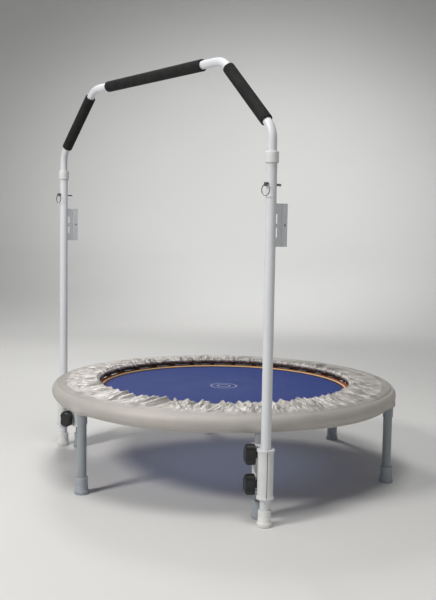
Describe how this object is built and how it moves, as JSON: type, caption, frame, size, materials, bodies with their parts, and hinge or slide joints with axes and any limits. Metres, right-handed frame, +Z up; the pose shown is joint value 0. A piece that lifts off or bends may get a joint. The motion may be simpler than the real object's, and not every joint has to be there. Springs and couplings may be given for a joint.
{
  "type": "mini trampoline with handlebar",
  "caption": "Round fitness trampoline on six legs with an elastic-edged fabric cover, sprung mat and a height-adjustable handlebar clamped to two legs.",
  "frame": {"origin": "on the floor under the centre of the round frame", "axes": "+Z up; the handlebar stands on the -Y side; +X is to the right seen from the handlebar side looking along +Y"},
  "size_m": [1.0299, 1.034, 1.1445],
  "materials": {
    "white_steel": "white powder coat, satin",
    "grey_frame_steel": "blue-grey powder coat, satin",
    "white_plastic": "moulded, satin",
    "black_plastic": "moulded, fine texture",
    "post_foot_rubber": "cream-white rubber",
    "leg_foot_rubber": "blue-grey rubber",
    "grip_foam": "closed-cell foam skin",
    "zinc_steel": "zinc plated",
    "mat_fabric": "woven polypropylene",
    "band_webbing": "flat webbing",
    "piping_fabric": "corded piping",
    "cover_fabric": "silver-beige satin coated cloth",
    "pad_foam": "soft foam",
    "elastic_white": "elastic cord"
  },
  "bodies": {
    "frame": {"accessory_tube_left": "white_steel", "accessory_tube_right": "white_steel", "clamp_back_left": "white_plastic", "clamp_back_right": "white_plastic", "clamp_bolts_left": "zinc_steel", "clamp_bolts_right": "zinc_steel", "clamp_front_left": "white_plastic", "clamp_front_right": "white_plastic", "edge_cover": "cover_fabric", "edge_foam": "pad_foam", "frame_ring": "grey_frame_steel", "hem_elastic": "elastic_white", "holder_bracket_left": "white_steel", "holder_bracket_right": "white_steel", "leg_1": "grey_frame_steel", "leg_2": "grey_frame_steel", "leg_3": "grey_frame_steel", "leg_4": "grey_frame_steel", "leg_5": "grey_frame_steel", "leg_6": "grey_frame_steel", "leg_foot_1": "leg_foot_rubber", "leg_foot_2": "leg_foot_rubber", "leg_foot_3": "leg_foot_rubber", "leg_foot_4": "leg_foot_rubber", "leg_foot_5": "leg_foot_rubber", "leg_foot_6": "leg_foot_rubber", "leg_socket_1": "grey_frame_steel", "leg_socket_2": "grey_frame_steel", "leg_socket_3": "grey_frame_steel", "leg_socket_4": "grey_frame_steel", "leg_socket_5": "grey_frame_steel", "leg_socket_6": "grey_frame_steel", "post_collar_left": "white_plastic", "post_collar_right": "white_plastic", "post_foot_left": "post_foot_rubber", "post_foot_right": "post_foot_rubber", "post_left": "white_steel", "post_right": "white_steel", "skirt_elastic": "elastic_white", "spring_anchors": "zinc_steel", "springs": "zinc_steel"},
    "bed": {"jumping_mat": "mat_fabric", "mat_edge_band": "band_webbing", "mat_piping": "piping_fabric", "mat_links": "zinc_steel"},
    "arch": {"handlebar_arch": "white_steel", "grip_left": "grip_foam", "grip_centre": "grip_foam", "grip_right": "grip_foam"},
    "lock_pin_right": {"lock_pin_right": "zinc_steel"},
    "pin_ring_right": {"pin_ring_right": "zinc_steel"},
    "clamp_knob_lower_right": {"clamp_knob_lower_right": "black_plastic"},
    "clamp_knob_upper_right": {"clamp_knob_upper_right": "black_plastic"},
    "lock_pin_left": {"lock_pin_left": "zinc_steel"},
    "pin_ring_left": {"pin_ring_left": "zinc_steel"},
    "clamp_knob_lower_left": {"clamp_knob_lower_left": "black_plastic"},
    "clamp_knob_upper_left": {"clamp_knob_upper_left": "black_plastic"}
  },
  "joints": [
    {"name": "bed_bounce", "type": "slide", "parent": "frame", "child": "bed", "axis": [0, 0, -1], "range_m": [0, 0.06], "stiffness_N_per_m": 6000, "springref_m": -0.001, "deforming": ["springs"]},
    {"name": "arch_height", "type": "slide", "parent": "frame", "child": "arch", "axis": [0, 0, 1], "range_m": [0, 0.1]},
    {"name": "pin_pull_right", "type": "slide", "parent": "frame", "child": "lock_pin_right", "axis": [0, -1, 0], "range_m": [0, 0.045]},
    {"name": "pin_ring_swing_right", "type": "hinge", "parent": "lock_pin_right", "child": "pin_ring_right", "pos_m": [0.48281, -0.29755, 0.818], "axis": [-1, 0, 0], "range_deg": [0, 100]},
    {"name": "knob_turn_lower_right", "type": "hinge", "parent": "frame", "child": "clamp_knob_lower_right", "pos_m": [0.45683, -0.26375, 0.095], "axis": [-0.5, -0.866, 0], "continuous": true},
    {"name": "knob_turn_upper_right", "type": "hinge", "parent": "frame", "child": "clamp_knob_upper_right", "pos_m": [0.45683, -0.26375, 0.169], "axis": [-0.5, -0.866, 0], "continuous": true},
    {"name": "pin_pull_left", "type": "slide", "parent": "frame", "child": "lock_pin_left", "axis": [0, -1, 0], "range_m": [0, 0.045]},
    {"name": "pin_ring_swing_left", "type": "hinge", "parent": "lock_pin_left", "child": "pin_ring_left", "pos_m": [-0.48281, -0.29755, 0.818], "axis": [-1, 0, 0], "range_deg": [0, 100]},
    {"name": "knob_turn_lower_left", "type": "hinge", "parent": "frame", "child": "clamp_knob_lower_left", "pos_m": [-0.45683, -0.26375, 0.095], "axis": [0.5, -0.866, 0], "continuous": true},
    {"name": "knob_turn_upper_left", "type": "hinge", "parent": "frame", "child": "clamp_knob_upper_left", "pos_m": [-0.45683, -0.26375, 0.169], "axis": [0.5, -0.866, 0], "continuous": true}
  ]
}
